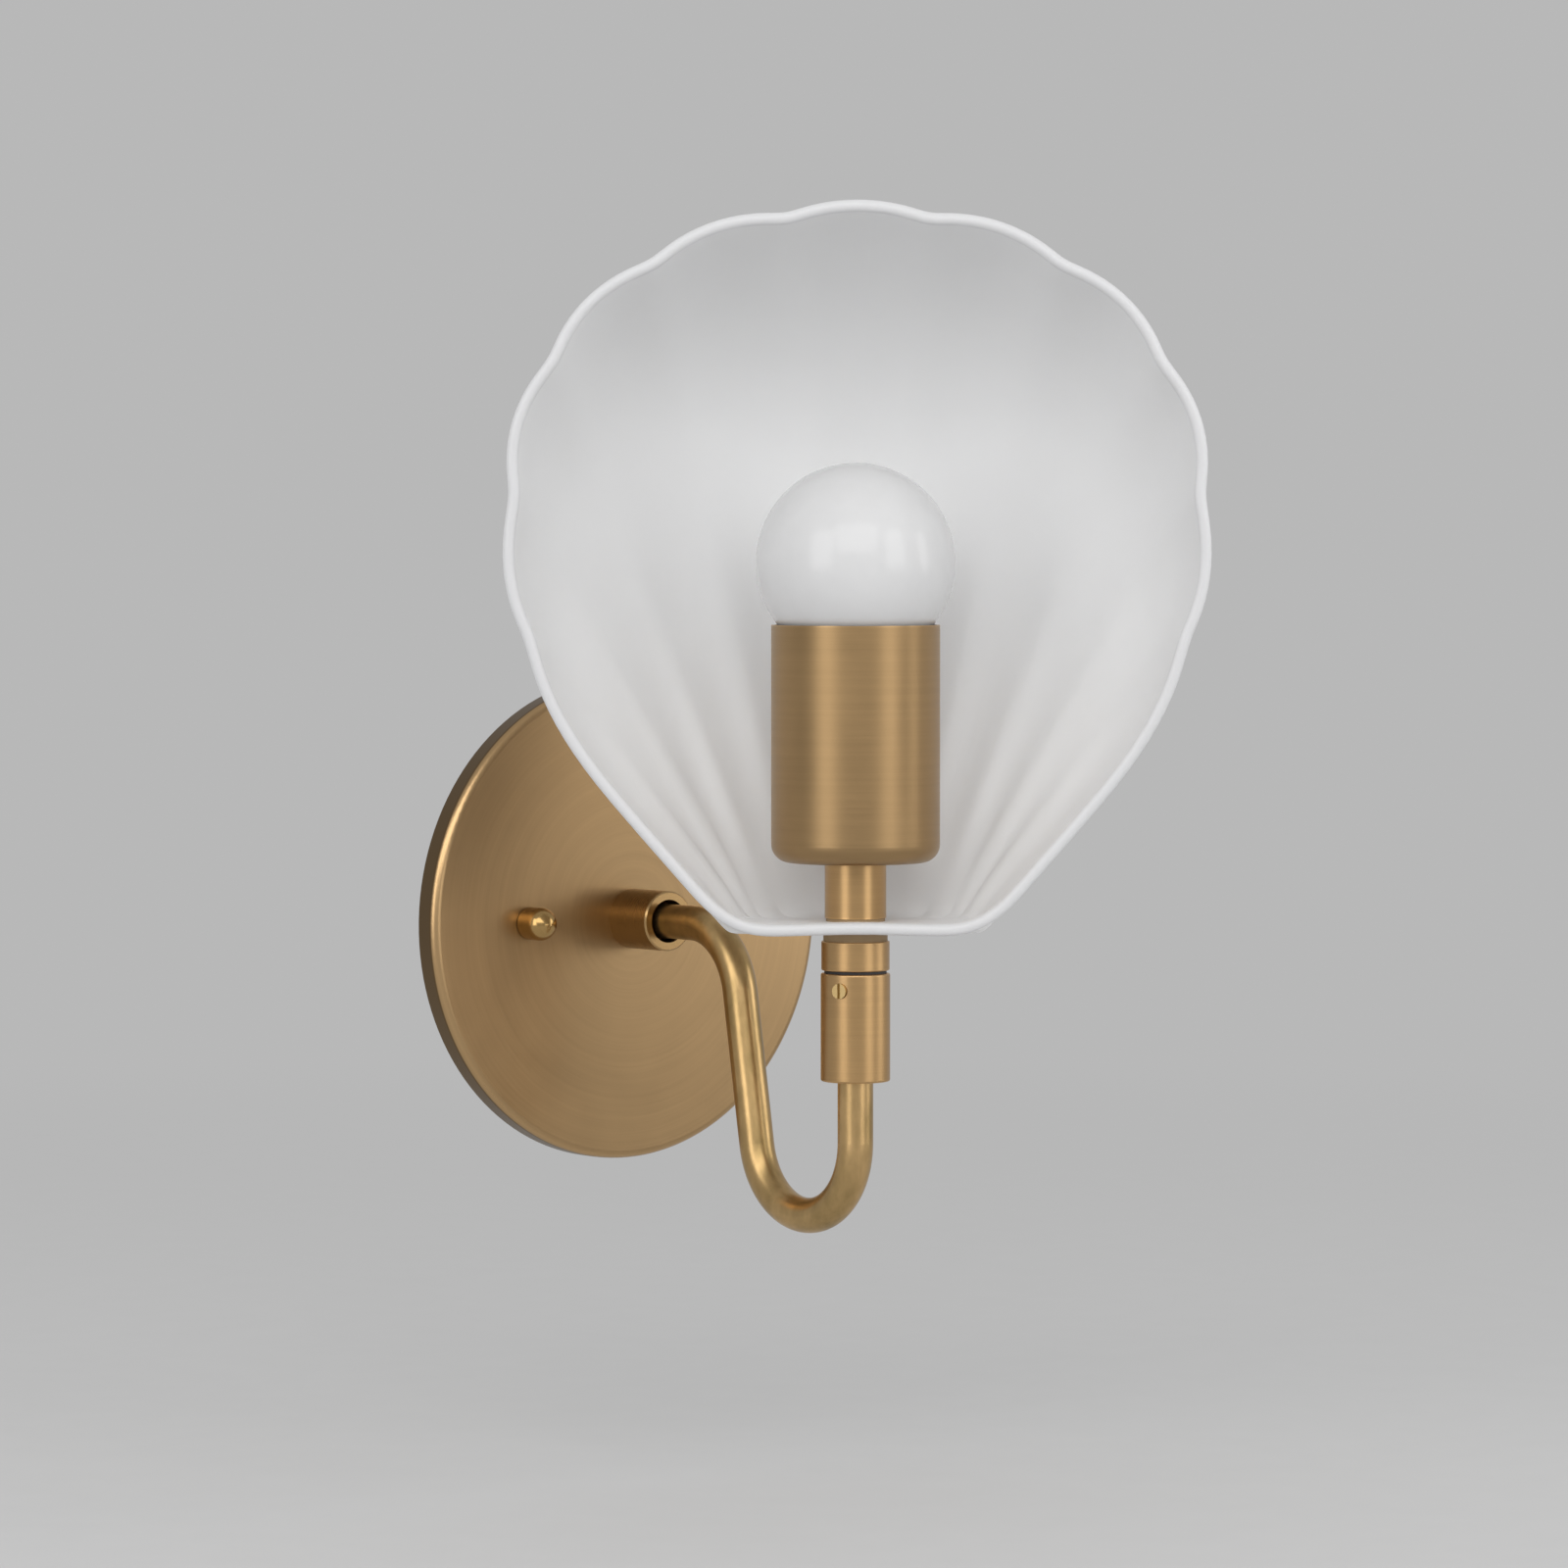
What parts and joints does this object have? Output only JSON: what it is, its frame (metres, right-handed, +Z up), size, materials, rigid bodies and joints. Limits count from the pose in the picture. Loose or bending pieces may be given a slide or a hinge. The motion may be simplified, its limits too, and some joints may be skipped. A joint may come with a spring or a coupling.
{
  "type": "wall sconce",
  "caption": "Wall sconce with a fluted scallop-shell opal glass shade, a brass socket cup and a globe lamp, on a bent brass arm with a swivel from a round wall plate.",
  "frame": {"origin": "centre of the wall plate, in the plane of the wall, on the axis of the arm's wall collar", "axes": "+X right seen from the room, -Y out of the wall into the room, +Z up"},
  "size_m": [0.1521, 0.1667, 0.2607],
  "materials": {
    "canopy_brass": "satin, faint concentric brushing, clear lacquer",
    "turned_brass": "satin, fine turned rings",
    "cup_brass": "satin, fine brushing around",
    "arm_brass": "satin to semi-gloss",
    "polished_brass": "bright satin",
    "screw_brass": "bright, machined",
    "plain_brass": "plain, unlacquered",
    "zinc_steel": "zinc plated",
    "tinned_copper": "tinned",
    "green_screw": "green passivated",
    "opal_glass": "white opal glass, satin",
    "lamp_glass": "white opal coated glass, glossy",
    "porcelain": "white glaze",
    "nickel": "nickel plated, bright",
    "black_glass": "vitrite, glossy",
    "solder": "dull solder",
    "gasket_rubber": "matt",
    "black_nylon": "matt",
    "black_plastic": "matt",
    "black_wire": "insulation",
    "white_wire": "insulation",
    "green_wire": "insulation"
  },
  "bodies": {
    "wall_bracket": {"canopy": "canopy_brass", "mounting_strap": "zinc_steel", "canopy_studs": "zinc_steel", "cap_nuts": "polished_brass", "wall_collar": "turned_brass", "arm_nipple": "plain_brass", "nipple_bushing": "black_plastic", "canopy_locknut": "zinc_steel", "ground_terminal": "tinned_copper", "ground_screw": "green_screw", "ground_lead": "green_wire", "arm_tube": "arm_brass", "arm_lead_black": "black_wire", "arm_lead_white": "white_wire", "swivel_body": "turned_brass", "swivel_washer": "black_nylon"},
    "lock_screw": {"lock_screw": "screw_brass"},
    "shade": {"swivel_stud": "plain_brass", "seat_ring": "turned_brass", "lower_gasket": "gasket_rubber", "shell_shade": "opal_glass", "upper_gasket": "gasket_rubber", "stem_tube": "turned_brass", "socket_cup": "cup_brass", "cup_washer": "zinc_steel", "cup_nut": "plain_brass", "socket_cap": "zinc_steel", "socket_screws": "zinc_steel", "socket_body": "porcelain", "screw_shell": "plain_brass", "centre_contact": "plain_brass", "terminal_screws": "screw_brass", "stem_lead_black": "black_wire", "stem_lead_white": "white_wire"},
    "lamp": {"bulb_glass": "lamp_glass", "bulb_base": "nickel", "bulb_insulator": "black_glass", "bulb_contact": "solder"}
  },
  "joints": [
    {"name": "shade_swivel", "type": "hinge", "parent": "wall_bracket", "child": "shade", "pos_m": [0, -0.1, -0.01], "axis": [0, 0, 1], "range_deg": [-127, 203]},
    {"name": "lamp_unscrew", "type": "slide", "parent": "shade", "child": "lamp", "axis": [0, 0, 1], "range_m": [0, 0.027]},
    {"name": "lock_screw_travel", "type": "slide", "parent": "wall_bracket", "child": "lock_screw", "axis": [-0.9135, -0.4067, 0], "range_m": [0, 0.0015]}
  ]
}
